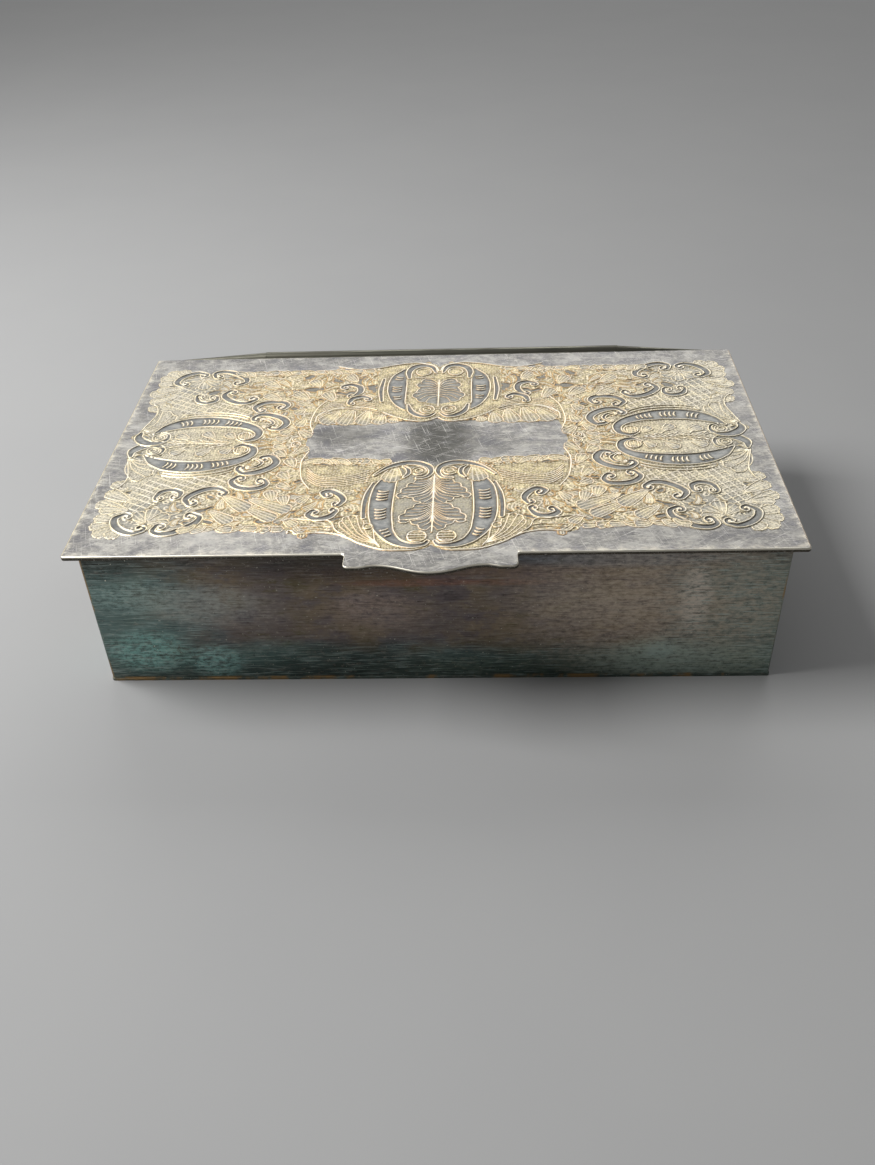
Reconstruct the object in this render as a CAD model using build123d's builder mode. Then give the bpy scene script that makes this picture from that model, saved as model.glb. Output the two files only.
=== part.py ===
"""A silver-plated sheet-brass trinket box: straight walls on a bottom plate, a cedar lining in two
compartments, and an overhanging lid with a scalloped thumb lip, on a seven-knuckle hinge along the back.

Millimetres, +Z up. The origin is the centre of the underside of the bottom plate. X runs along the box's
length, and -Y is its front, where the lip is.
"""

import os
from math import cos, radians, sin

from build123d import *

# Driving dimensions
LID_LENGTH = 178.0  # 7 inches
LID_DEPTH = 104.0  # front edge to back edge, without the lip
BOX_HEIGHT = 41.8  # table to the top of the lid
LID_SHEET = 1.0
WALL_SHEET = 0.9
BOTTOM_SHEET = 0.8
SIDE_OVERHANG = 3.4
FRONT_OVERHANG = 1.8
LID_GAP = 0.1  # between the walls' rim and the lid, as worn

# The shell that follows from them
LENGTH = LID_LENGTH - 2 * SIDE_OVERHANG
DEPTH = LID_DEPTH - FRONT_OVERHANG
FRONT, BACK = -DEPTH / 2, DEPTH / 2
SEAM = BOX_HEIGHT - LID_SHEET - LID_GAP  # the walls' rim
LID_UNDER = SEAM + LID_GAP
LID_FRONT = BACK - LID_DEPTH
BOTTOM_PROUD = 0.2  # the bottom plate shows as a thin line below the walls
CORNER_RADIUS = 0.6  # of the walls' and the bottom plate's upright corners

# Lid
LID_CORNER_RADIUS = 1.0
LID_EDGE_RADIUS = 0.35
LIP_HALF = 20.6  # half the lip's width
LIP_ROOT_RADIUS = 0.9
LIP_EAR_RADIUS = 1.3
LIP_EAR = 5.2  # how far the ears stand out from the lid's front edge
LIP_SADDLE = 4.5
LIP_MIDDLE = 7.4
LIP_EAR_WIDTH = 3.6  # from the lip's end to where the ear's straight edge stops
LIP_SADDLE_INSET = 7.4  # from the lip's end to the saddle
RIM_CLEARANCE = 0.5  # between the walls and the locating rim under the lid
RIM_SHEET = 0.8
RIM_DROP = 2.2
LINER_THICKNESS = 1.6
LINER_GAP = 0.1

# Cedar lining
LINING_GAP = 0.15  # all round, inside the walls
BOARD = 2.4
FLOOR_BOARD = 2.0
LINING_BELOW_SEAM = 3.4
GROOVE = 1.0  # how deep the divider is housed in the long boards
GROOVE_GAP = 0.05
BOARD_CHAMFER = 0.4

# Hinge
BEARER_RADIUS = 1.95  # outer, and so half the hinge's height
BEARER_BORE = 1.35
KNUCKLE_RADIUS = 1.3
KNUCKLE_BORE = 0.8
PIN_RADIUS = 0.75
HINGE_HALF = 55.0  # half the length of the working part
KNUCKLES = 7  # the body's at both ends
KNUCKLE_GAP = 0.25
FLANGE_DROP = 9.0  # of the body's bearer, down the back wall
LID_BEARER_END = 60.0  # degrees above the back, where the lid's bearer stops
BODY_BEARER_END = -40.0  # the two edges meet when the lid has turned 100 degrees
FAIRING_END = 81.0  # the lid's bearer thins out to here, half length
FAIRING_REACH = 3.6  # how far it stands out behind the lid, next to the hinge
FAIRING_TIP_REACH = 0.5
FAIRING_TIP_HEIGHT = 0.6
FAIRING_TIP_CROWN = 0.75
PIN_CHAMFER = 0.2
PIN_Y = BACK + BEARER_RADIUS
PIN_Z = SEAM + LID_GAP / 2


def save(builder, name):
    """Labels a finished piece and writes it as parts/NAME.step."""
    os.makedirs("parts", exist_ok=True)
    builder.part.label = name
    export_step(builder.part, f"parts/{name}.step")
    print(f"{name}: {len(builder.part.solids())} solid, {builder.part.volume:.1f} mm3")


def side_of_frame(side, length, depth, sheet, low, high, radius=0.0):
    """One mitred side of a rectangular sheet frame: front, back, left or right, between two heights."""
    x, y = length / 2, depth / 2
    meet = x - y  # the 45 degree mitre planes of an end meet here, on the middle line
    sectors = {
        "front": [(-x, -y), (x, -y), (meet, 0), (-meet, 0)],
        "back": [(-x, y), (x, y), (meet, 0), (-meet, 0)],
        "left": [(-x, -y), (-x, y), (-meet, 0)],
        "right": [(x, -y), (x, y), (meet, 0)],
    }
    with BuildPart() as piece:
        with BuildSketch(Plane.XY.offset(low)):
            if radius:
                RectangleRounded(length, depth, radius)
            else:
                Rectangle(length, depth)
            Rectangle(length - 2 * sheet, depth - 2 * sheet, mode=Mode.SUBTRACT)
            with BuildSketch(mode=Mode.INTERSECT):
                Polygon(*sectors[side], align=None)
        extrude(amount=high - low)
    return piece


# ---- Shell: four mitred walls soldered together on the bottom plate ----
for side in ("front", "back", "left", "right"):
    wall = side_of_frame(side, LENGTH, DEPTH, WALL_SHEET, BOTTOM_SHEET, SEAM, CORNER_RADIUS)
    save(wall, f"{side}_wall")

with BuildPart() as bottom_plate:
    with BuildSketch():
        RectangleRounded(LENGTH + 2 * BOTTOM_PROUD, DEPTH + 2 * BOTTOM_PROUD, CORNER_RADIUS + BOTTOM_PROUD)
    extrude(amount=BOTTOM_SHEET)
    fillet(bottom_plate.faces().sort_by(Axis.Z)[-1].edges(), radius=BOTTOM_PROUD)
save(bottom_plate, "bottom_plate")

# ---- Lining: a floor board, four side boards and a divider housed in the long ones ----
lining_length = LENGTH - 2 * (WALL_SHEET + LINING_GAP)
lining_depth = DEPTH - 2 * (WALL_SHEET + LINING_GAP)
floor_top = BOTTOM_SHEET + FLOOR_BOARD
lining_top = SEAM - LINING_BELOW_SEAM
board_height = lining_top - floor_top

with BuildPart() as lining_floor:
    with BuildSketch(Plane.XY.offset(BOTTOM_SHEET)):
        Rectangle(lining_length, lining_depth)
    extrude(amount=FLOOR_BOARD)
save(lining_floor, "lining_floor")

for name, outward in (("lining_front", -1), ("lining_back", 1)):
    board_y = outward * (lining_depth - BOARD) / 2
    groove_y = outward * (lining_depth / 2 - BOARD + GROOVE / 2)
    with BuildPart() as long_board:
        with BuildSketch(Plane.XY.offset(floor_top)):
            with Locations((0, board_y)):
                Rectangle(lining_length, BOARD)
        extrude(amount=board_height)
        chamfer(long_board.faces().sort_by(Axis.Z)[-1].edges().filter_by(Axis.X), length=BOARD_CHAMFER)
        with BuildSketch(Plane.XY.offset(floor_top)):
            with Locations((0, groove_y)):
                Rectangle(BOARD + 2 * GROOVE_GAP, GROOVE)
        extrude(amount=board_height, mode=Mode.SUBTRACT)
    save(long_board, name)

for name, outward in (("lining_left", -1), ("lining_right", 1)):
    with BuildPart() as end_board:
        with BuildSketch(Plane.XY.offset(floor_top)):
            with Locations((outward * (lining_length - BOARD) / 2, 0)):
                Rectangle(BOARD, lining_depth - 2 * BOARD)
        extrude(amount=board_height)
        chamfer(end_board.faces().sort_by(Axis.Z)[-1].edges().filter_by(Axis.Y), length=BOARD_CHAMFER)
    save(end_board, name)

with BuildPart() as divider:
    with BuildSketch(Plane.XY.offset(floor_top)):
        Rectangle(BOARD, lining_depth - 2 * (BOARD - GROOVE + GROOVE_GAP))
    extrude(amount=board_height)
    chamfer(divider.faces().sort_by(Axis.Z)[-1].edges().filter_by(Axis.Y), length=BOARD_CHAMFER)
save(divider, "divider")

# ---- Lid: one sheet with the lip, a mitred locating rim under it, and a cedar liner inside the rim ----
ear_y = LID_FRONT - LIP_EAR
saddle_y = LID_FRONT - LIP_SADDLE
middle_y = LID_FRONT - LIP_MIDDLE
side_x = LID_LENGTH / 2
corner_x = side_x - LID_CORNER_RADIUS  # where the rounded corners meet the front and back edges
root_start = (LIP_HALF + LIP_ROOT_RADIUS, LID_FRONT)  # the hollow corner between the lid's edge and an ear
root_end = (LIP_HALF, LID_FRONT - LIP_ROOT_RADIUS)
ear_start = (LIP_HALF, ear_y + LIP_EAR_RADIUS)
ear_end = (LIP_HALF - LIP_EAR_RADIUS, ear_y)
ear_flat = (LIP_HALF - LIP_EAR_WIDTH, ear_y)
saddle = (LIP_HALF - LIP_SADDLE_INSET, saddle_y)

with BuildPart() as lid_plate:
    with BuildSketch(Plane.XY.offset(LID_UNDER)):
        with BuildLine():
            # the right half of the outline, from the back's middle round to the lip's middle
            Line((0, BACK), (corner_x, BACK))
            RadiusArc((corner_x, BACK), (side_x, BACK - LID_CORNER_RADIUS), LID_CORNER_RADIUS)
            Line((side_x, BACK - LID_CORNER_RADIUS), (side_x, LID_FRONT + LID_CORNER_RADIUS))
            RadiusArc((side_x, LID_FRONT + LID_CORNER_RADIUS), (corner_x, LID_FRONT), LID_CORNER_RADIUS)
            Line((corner_x, LID_FRONT), root_start)
            RadiusArc(root_start, root_end, -LIP_ROOT_RADIUS)
            Line(root_end, ear_start)
            RadiusArc(ear_start, ear_end, LIP_EAR_RADIUS)
            Line(ear_end, ear_flat)
            Spline(ear_flat, saddle, tangents=((-1, 0), (-1, 0)))
            Spline(saddle, (0, middle_y), tangents=((-1, 0), (-1, 0)))
            mirror(about=Plane.YZ)
        make_face()
    extrude(amount=LID_SHEET)
    free_edges = lid_plate.edges().filter_by(lambda e: e.center().Y < BACK - 0.1)
    top_edges = free_edges.filter_by(lambda e: e.center().Z > LID_UNDER + LID_SHEET - 0.01)
    fillet(top_edges, radius=LID_EDGE_RADIUS)
save(lid_plate, "lid_plate")

rim_length = LENGTH - 2 * (WALL_SHEET + RIM_CLEARANCE)
rim_depth = DEPTH - 2 * (WALL_SHEET + RIM_CLEARANCE)
for side in ("front", "back", "left", "right"):
    strip = side_of_frame(side, rim_length, rim_depth, RIM_SHEET, LID_UNDER - RIM_DROP, LID_UNDER)
    save(strip, f"lid_rim_{side}")

with BuildPart() as lid_liner:
    with BuildSketch(Plane.XY.offset(LID_UNDER - LINER_THICKNESS)):
        Rectangle(rim_length - 2 * (RIM_SHEET + LINER_GAP), rim_depth - 2 * (RIM_SHEET + LINER_GAP))
    extrude(amount=LINER_THICKNESS)
save(lid_liner, "lid_liner")

# ---- Hinge: a bearer soldered to each half, tube knuckles seated in them turn about, and one pin ----
hinge_section = Plane(origin=(-HINGE_HALF, PIN_Y, PIN_Z), x_dir=(0, 1, 0), z_dir=(1, 0, 0))
far = 3 * BEARER_RADIUS


def edge_ray(degrees):
    """A point well outside the hinge, at an angle from straight back, in the hinge's section."""
    return (far * cos(radians(degrees)), far * sin(radians(degrees)))


with BuildPart() as body_bearer:
    with BuildSketch(hinge_section):
        Circle(BEARER_RADIUS)
        Circle(BEARER_BORE, mode=Mode.SUBTRACT)
        end_x, end_y = edge_ray(BODY_BEARER_END)
        edge = -LID_GAP / 2
        with BuildSketch(mode=Mode.INTERSECT):
            Polygon((0, edge), (-far, edge), (-far, -far), (end_x, -far), (end_x, end_y), align=None)
        with Locations((-BEARER_RADIUS, -LID_GAP / 2)):
            Rectangle(BEARER_RADIUS - BEARER_BORE, FLANGE_DROP, align=(Align.MIN, Align.MAX))
    extrude(amount=2 * HINGE_HALF)
save(body_bearer, "hinge_bearer_body")

with BuildPart() as lid_bearer:
    with BuildSketch(hinge_section):
        Circle(BEARER_RADIUS)
        with Locations((-BEARER_RADIUS, LID_GAP / 2)):
            Rectangle(BEARER_RADIUS, LID_SHEET, align=(Align.MIN, Align.MIN))
        Circle(BEARER_BORE, mode=Mode.SUBTRACT)
        end_x, end_y = edge_ray(LID_BEARER_END)
        edge = LID_GAP / 2
        with BuildSketch(mode=Mode.INTERSECT):
            Polygon((0, edge), (-far, edge), (-far, far), (end_x, far), (end_x, end_y), align=None)
    extrude(amount=2 * HINGE_HALF)
    # each end is dressed down to a long taper against the lid's back edge
    for outward in (-1, 1):
        wide = Plane(origin=(outward * HINGE_HALF, BACK, LID_UNDER), x_dir=(0, 1, 0), z_dir=(1, 0, 0))
        narrow = Plane(origin=(outward * FAIRING_END, BACK, LID_UNDER), x_dir=(0, 1, 0), z_dir=(1, 0, 0))
        for section, reach, height, crown in (
            (wide, FAIRING_REACH, LID_SHEET, BEARER_RADIUS - LID_GAP / 2),
            (narrow, FAIRING_TIP_REACH, FAIRING_TIP_HEIGHT, FAIRING_TIP_CROWN),
        ):
            with BuildSketch(section):
                with BuildLine():
                    Line((0, 0), (0, height))
                    ThreePointArc((0, height), (reach / 2, crown), (reach, 0))
                    Line((reach, 0), (0, 0))
                make_face()
        loft()
save(lid_bearer, "hinge_bearer_lid")

knuckle_pitch = 2 * HINGE_HALF / KNUCKLES
for name, first in (("hinge_knuckles_body", 0), ("hinge_knuckles_lid", 1)):
    with BuildPart() as knuckles:
        for k in range(first, KNUCKLES, 2):
            start = hinge_section.offset(k * knuckle_pitch + KNUCKLE_GAP / 2)
            with BuildSketch(start):
                Circle(KNUCKLE_RADIUS)
                Circle(KNUCKLE_BORE, mode=Mode.SUBTRACT)
            extrude(amount=knuckle_pitch - KNUCKLE_GAP)
    save(knuckles, name)

with BuildPart() as hinge_pin:
    with BuildSketch(hinge_section.offset(KNUCKLE_GAP)):
        Circle(PIN_RADIUS)
    extrude(amount=2 * (HINGE_HALF - KNUCKLE_GAP))
    chamfer(hinge_pin.edges().filter_by(GeomType.CIRCLE), length=PIN_CHAMFER)
save(hinge_pin, "hinge_pin")
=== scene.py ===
"""Looks of a silver-plated brass trinket box: a tarnished body lined with cedar, and a hinged lid chased all over.

One unit is a metre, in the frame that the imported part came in: +Z up, -Y to the front, the box standing on Z = 0.
"""

import bpy
import numpy as np
from mathutils import Matrix, Vector


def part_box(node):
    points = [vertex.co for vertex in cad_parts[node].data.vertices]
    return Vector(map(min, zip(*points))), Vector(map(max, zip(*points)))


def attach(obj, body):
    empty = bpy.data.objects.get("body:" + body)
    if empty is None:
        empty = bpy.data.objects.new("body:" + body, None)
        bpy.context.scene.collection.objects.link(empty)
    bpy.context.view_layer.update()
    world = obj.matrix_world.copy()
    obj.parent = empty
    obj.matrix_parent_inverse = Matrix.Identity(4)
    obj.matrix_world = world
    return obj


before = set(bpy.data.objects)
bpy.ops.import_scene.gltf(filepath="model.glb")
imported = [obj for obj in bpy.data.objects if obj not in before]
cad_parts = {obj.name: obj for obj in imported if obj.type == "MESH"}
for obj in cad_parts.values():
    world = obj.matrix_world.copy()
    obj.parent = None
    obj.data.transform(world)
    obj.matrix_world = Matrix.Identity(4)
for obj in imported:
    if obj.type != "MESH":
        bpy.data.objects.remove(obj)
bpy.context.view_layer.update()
MM = 0.001

# ---- Bottom plate and walls ----
# Rolled brass sheet, silver-plated, with mitred corners soldered up and the whole soldered to a bottom plate.
# The plate has gone dark: brown in the middle, blue-green near the table and the ends, and brass at the edges.
# Painted shade darkens the top of each wall, under the lid's edge.
WALL_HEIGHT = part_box("front_wall")[1].z
HALF_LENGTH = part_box("front_wall")[1].x
HALF_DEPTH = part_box("right_wall")[1].y


def linear(code):
    """An sRGB hex colour as linear red, green, blue and alpha, by the sRGB curve."""
    part = np.array([int(code[k : k + 2], 16) / 255 for k in (0, 2, 4)])
    part = np.where(part <= 0.04045, part / 12.92, ((part + 0.055) / 1.055) ** 2.4)
    return (*part, 1.0)


def start_material(name):
    """An empty node material and its shader, already wired to the output."""
    material = bpy.data.materials.new(name)
    material.use_nodes = True
    material.node_tree.nodes.clear()
    shader = add(material, "BsdfPrincipled")
    add(material, "OutputMaterial", {"Surface": shader})
    return material, shader


def feed(material, socket, value):
    """Gives an input its value: a number, a colour, a socket, or a node, which stands for its result."""
    if isinstance(value, bpy.types.Node):
        value = value.outputs[2 if value.bl_idname == "ShaderNodeMix" else 0]
    if isinstance(value, bpy.types.NodeSocket):
        material.node_tree.links.new(value, socket)
    else:
        socket.default_value = value


def add(material, kind, inputs=None, **settings):
    """Adds a node with its settings and the values of its inputs."""
    node = material.node_tree.nodes.new("ShaderNode" + kind)
    for name, value in settings.items():
        setattr(node, name, value)
    for name, value in (inputs or {}).items():
        feed(material, node.inputs[name], value)
    return node


def set_input(material, shader, **inputs):
    """Gives a shader's inputs their values, named with _ for a space."""
    for name, value in inputs.items():
        feed(material, shader.inputs[name.replace("_", " ")], value)


def grain(material, size, detail=4.0, stretch=(1, 1, 1), shift=(0, 0, 0), rough=0.55, turn=0.0):
    """Noise on object coordinates whose features are about size millimetres, times stretch along each axis, after
    a turn in degrees about the upright axis."""
    place = add(material, "TexCoord").outputs["Object"]
    if turn:
        place = add(material, "Mapping", {"Vector": place, "Rotation": (0, 0, np.radians(turn))}).outputs[0]
    scale = [1 / (size * MM * s) for s in stretch]
    mapped = add(material, "Mapping", {"Vector": place, "Scale": scale, "Location": shift})
    return add(material, "TexNoise", {"Vector": mapped, "Scale": 1.0, "Detail": detail, "Roughness": rough})


def between(material, value, low, high, to_low=0.0, to_high=1.0):
    """A smooth step of a value from low to high."""
    limits = {"Value": value, "From Min": low, "From Max": high, "To Min": to_low, "To Max": to_high}
    return add(material, "MapRange", limits, interpolation_type="SMOOTHSTEP")


def calc(material, operation, a, b=0.0):
    """One arithmetic step on two values."""
    return add(material, "Math", {0: a, 1: b}, operation=operation)


def tint(material, factor, under, over):
    """One colour laid over another by a factor. A colour is a socket, a node or a hex code."""
    under, over = (linear(colour) if isinstance(colour, str) else colour for colour in (under, over))
    return add(material, "Mix", {0: factor, 6: under, 7: over}, data_type="RGBA")


def glaze(material, tone, value, low, high, most, code):
    """The tone with a colour laid over it, from 0 where a value is at low to most where it is at high."""
    return tint(material, between(material, value, low, high, 0, most), tone, code)


def patch(material, axes, at, reach):
    """A soft oval: 1 at a place along two axes, in millimetres, falling to 0 at its reach along each."""
    place = add(material, "SeparateXYZ", {0: add(material, "TexCoord").outputs["Object"]})
    squares = []
    for k, axis in enumerate(axes):
        offset = calc(material, "MULTIPLY", place.outputs[axis], 1 / (reach[k] * MM))
        offset = calc(material, "SUBTRACT", offset, at[k] / reach[k])
        squares.append(calc(material, "MULTIPLY", offset, offset))
    return between(material, calc(material, "ADD", *squares), 1.0, 0.0)


def tarnished_plate(name, axis, half, patches=()):
    """Old electroplated silver on brass: the sulphide film shifts from brown to blue-green with its thickness, and
    fine streaks follow the polishing. Metallic, roughness about 0.45. half is half the wall's length. Each patch
    is (place along and up the wall, reach along and up, colour, strength)."""
    material, shader = start_material(name)
    part = add(material, "SeparateXYZ", {0: add(material, "TexCoord").outputs["Object"]})
    along, up = part.outputs[axis], part.outputs[2]
    lengthwise = [1, 1, 1]
    lengthwise[axis] = 9
    longer = [1, 1, 1]
    longer[axis] = 26
    slightly = [1 + 0.12 * (stretch - 1) for stretch in lengthwise]
    cloud = grain(material, 24, 5, shift=(0.3 + 2 * axis, 0.1, 0.7))
    blotch = grain(material, 5, 6, slightly, (axis, 2, 5), 0.68)
    streak = grain(material, 0.9, 6, lengthwise, (axis, 0, 0), 0.72)
    hair = grain(material, 0.22, 3, longer, (0, axis, 0.5))
    end = between(material, calc(material, "ABSOLUTE", along), 0.45 * half, 1.0 * half)
    foot = between(material, up, 17 * MM, 3 * MM)
    # Painted shade: the top of the wall is darkened where the lid's edge overhangs it.
    painted_lid_shade = between(material, up, WALL_HEIGHT - 8 * MM, WALL_HEIGHT - 1 * MM, 0.0, 0.75)
    film = calc(material, "ADD", calc(material, "MAXIMUM", end, foot), calc(material, "MULTIPLY", cloud, 0.8))
    film = calc(material, "ADD", film, calc(material, "MULTIPLY", blotch, 0.9))
    tone = tint(material, between(material, cloud, 0.42, 0.58), "8a7b68", "7b706b")
    tone = glaze(material, tone, blotch, 0.48, 0.62, 0.7, "6f666c")
    tone = glaze(material, tone, blotch, 0.46, 0.34, 0.7, "6d6447")
    tone = glaze(material, tone, film, 1.0, 1.75, 0.85, "6b8682")
    tone = tint(material, calc(material, "MULTIPLY", foot, 0.75), tone, "495853")
    tone = tint(material, painted_lid_shade, tone, "56504b")
    crust = grain(material, 0.9, 7, slightly, (2, axis, 8), 0.8)
    for at, reach, colour, strength in patches:
        spot = patch(material, (axis, 2), at, reach)
        least = 0.08 if reach[0] < 16 else 0.3  # a small spot is more broken up
        broken = between(material, crust, 0.42, 0.58, least * strength, (0.98 - least) * strength)
        tone = tint(material, calc(material, "MULTIPLY", spot, broken), tone, colour)
    tone = glaze(material, tone, streak, 0.52, 0.70, 0.28, "d3cdc4")
    brushed = between(material, hair, 0.54, 0.68, 0, 0.6)
    brushed = calc(material, "MULTIPLY", brushed, between(material, film, 0.9, 1.6, 0.12, 1.0))
    tone = tint(material, brushed, tone, "bccdc8")
    tone = glaze(material, tone, hair, 0.47, 0.34, 0.4, "2a2826")
    tone = glaze(material, tone, crust, 0.54, 0.68, 0.35, "c9c0b2")
    tone = glaze(material, tone, crust, 0.44, 0.32, 0.6, "302d28")
    tone = glaze(material, tone, blotch, 0.60, 0.74, 0.45, "2b2926")
    fleck = grain(material, 0.5, 1, shift=(3, 5, 7))
    tone = glaze(material, tone, fleck, 0.75, 0.78, 0.9, "e6e3d2")
    low_edge = between(material, up, 1.5 * MM, 0.8 * MM)
    corner = between(material, calc(material, "ABSOLUTE", along), half - 0.6 * MM, half - 0.2 * MM, 0, 0.9)
    worn = calc(material, "MAXIMUM", low_edge, corner)
    rubbed = between(material, grain(material, 6, 4, shift=(9, 2, 4)), 0.46, 0.62, 0.05, 0.9)
    worn = calc(material, "MULTIPLY", worn, rubbed)
    tone = tint(material, worn, tone, "a98a5e")
    dull = between(material, streak, 0.3, 0.7, 0.36, 0.58)
    bump = add(material, "Bump", {"Height": hair, "Strength": 0.3, "Distance": 0.04 * MM})
    bump = add(material, "Bump", {"Height": blotch, "Strength": 0.5, "Distance": 0.25 * MM, "Normal": bump})
    set_input(material, shader, Base_Color=tone, Metallic=0.9, Roughness=dull, Normal=bump)
    return material


def dress(node, material):
    """Gives a CAD node its material, in every slot it has."""
    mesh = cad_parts[node].data
    mesh.materials.clear()
    mesh.materials.append(material)


TEAL, PALE, RUST = "9fd3cb", "c4beb6", "9c6a55"
# Painted shadow: the dark patches high on the wall at -80 and -22 mm (39403d, 38342f) are the lid's shadow.
front_patches = [
    ((-76, 29), (14, 8), "a7c4be", 0.7), ((-74, 10), (14, 9), "94cac2", 0.9), ((-57, 6.5), (9, 7), "a2d6d0", 0.9),
    ((-40, 9), (20, 6), "7fa7a0", 0.5), ((57, 9), (5, 4), "b4e6f2", 1.2), ((56, 8), (13, 8), "8fbfb6", 0.8),
    ((30, 4), (70, 4), "6c7a66", 0.5), ((44, 38), (36, 3), "5f87a8", 0.7), ((64, 26), (5, 13), "f4f0ea", 1.0),
    ((46, 24), (26, 8), "bfb3a4", 0.7), ((-52, 24), (20, 9), "b3ada6", 0.6), ((-16, 25), (12, 6), "b39f97", 0.6),
    ((-6, 31.6), (22, 1.6), RUST, 0.95), ((16, 31.4), (16, 1.3), RUST, 0.7), ((2, 34.5), (50, 4), "86604f", 0.45),
    ((76, 5), (10, 6), "8c835f", 0.7), ((82, 24), (10, 18), "6f7f78", 0.9), ((56, 24), (46, 30), "dac8b3", 0.95),
    ((64, 5), (36, 9), "b0c4b9", 1.0), ((-22, 37), (34, 7), "38342f", 1.0), ((-24, 6), (28, 9), "303633", 1.0),
    ((-60, 26), (20, 8), "b9c2bb", 0.7), ((-14, 22), (18, 8), "a8968a", 0.9), ((-80, 38), (12, 8), "39403d", 1.0),
]
dress("front_wall", tarnished_plate("tarnished_silver_plate_front", 0, HALF_LENGTH, front_patches))
dress("back_wall", tarnished_plate("tarnished_silver_plate_back", 0, HALF_LENGTH, [
    ((-50, 12), (26, 10), TEAL, 0.7), ((30, 22), (30, 9), PALE, 0.5), ((70, 8), (18, 8), TEAL, 0.6)]))
dress("left_wall", tarnished_plate("tarnished_silver_plate_left", 1, HALF_DEPTH, [
    ((-34, 10), (16, 9), TEAL, 0.8), ((20, 24), (22, 9), PALE, 0.5)]))
dress("right_wall", tarnished_plate("tarnished_silver_plate_right", 1, HALF_DEPTH, [
    ((30, 10), (18, 8), TEAL, 0.7), ((-18, 22), (20, 10), PALE, 0.5)]))
dress("bottom_plate", tarnished_plate("tarnished_silver_plate_bottom", 0, HALF_LENGTH))

# ---- Cedar lining ----
# Planed and waxed cedar boards: a floor, four sides with eased top edges, and a divider housed in the long boards.
# Open-grained softwood: pink-brown, with darker growth lines along each board and fine pores.


def cedar(name, along, shift):
    """Flat-sawn cedar. Growth lines are waves of the distance across the board, bent by slow noise along it."""
    material, shader = start_material(name)
    stretch = [1, 1, 1]
    stretch[along] = 12
    slow = grain(material, 9, 3, stretch, shift)
    fine = grain(material, 0.5, 4, [s * 2 if s > 1 else 1 for s in stretch], shift)
    rings = calc(material, "FRACT", calc(material, "MULTIPLY", slow, 11.0))
    late = between(material, rings, 0.55, 0.98)
    tone = tint(material, slow, "9a6038", "7a4526")
    tone = tint(material, calc(material, "MULTIPLY", late, 0.55), tone, "5a2f18")
    tone = glaze(material, tone, fine, 0.55, 0.75, 0.5, "3f2112")
    bump = add(material, "Bump", {"Height": fine, "Strength": 0.3, "Distance": 0.08 * MM})
    set_input(material, shader, Base_Color=tone, Roughness=between(material, late, 0, 1, 0.55, 0.42), Normal=bump)
    return material


boards = [("lining_floor", 0), ("lining_front", 0), ("lining_back", 0), ("lining_left", 1), ("lining_right", 1),
          ("divider", 1), ("lid_liner", 0)]  # with the axis that the grain follows
for k, (node, along) in enumerate(boards):
    dress(node, cedar("waxed_cedar_" + node, along, (0.7 * k, 1.3 * k, 2.1 * k)))

# ---- Hinge ----
# Two brass bearers soldered to the body and the lid, seven tube knuckles seated in them, and a steel pin.
# The bearers were plated with the box and have gone dark; the knuckles and the pin rub, and so they stay bright.


def rubbed_metal(name, light, dark, stretch=(1, 8, 8)):
    """Drawn metal that rubs in use: fine rings or lines, dirt in patches, roughness 0.28 to 0.5."""
    material, shader = start_material(name)
    ring = grain(material, 0.25, 3, stretch)
    dirt = grain(material, 3, 4, (max(stretch[0] / 2, 1), 1, 1))
    tone = tint(material, between(material, dirt, 0.4, 0.65), light, dark)
    bump = add(material, "Bump", {"Height": ring, "Strength": 0.25, "Distance": 0.03 * MM})
    rough = between(material, dirt, 0.3, 0.7, 0.28, 0.5)
    set_input(material, shader, Base_Color=tone, Metallic=1.0, Roughness=rough, Normal=bump)
    return material


knuckle_brass = rubbed_metal("rubbed_brass_tube", "a98a55", "77603c")
dress("hinge_knuckles_body", knuckle_brass)
dress("hinge_knuckles_lid", knuckle_brass)
dress("hinge_pin", rubbed_metal("steel_wire", "9b9b98", "55524d"))
dress("hinge_bearer_body", rubbed_metal("tarnished_hinge_plate", "5c5a50", "3a3935", (12, 1, 1)))
dress("hinge_bearer_lid", rubbed_metal("worn_hinge_plate", "807f72", "66645a", (12, 1, 1)))
rim_brass = rubbed_metal("dull_brass_strip", "9c7d4a", "56452b")
for side in ("front", "back", "left", "right"):
    dress("lid_rim_" + side, rim_brass)

# ---- Lid plate ----
# One sheet of plated brass, pierced to shape with its lip, filed round at the edge. Handling has kept it pale:
# mottled silver with fine random scratches, and bright yellow where the plate is through at the edge, painted
# darker towards the right end as shade. Painted light also lies over it: a highlight along the edge and on the
# crests of the relief, a sheen at the front left, and shade under the edge and in the relief's hollows.
LID_LOW, LID_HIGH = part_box("lid_plate")
LID_TOP = LID_HIGH.z
LID_DEPTH = 104 * MM  # without the lip
LID_FRONT = LID_HIGH.y - LID_DEPTH
LIP_HALF = 20.6 * MM


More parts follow.
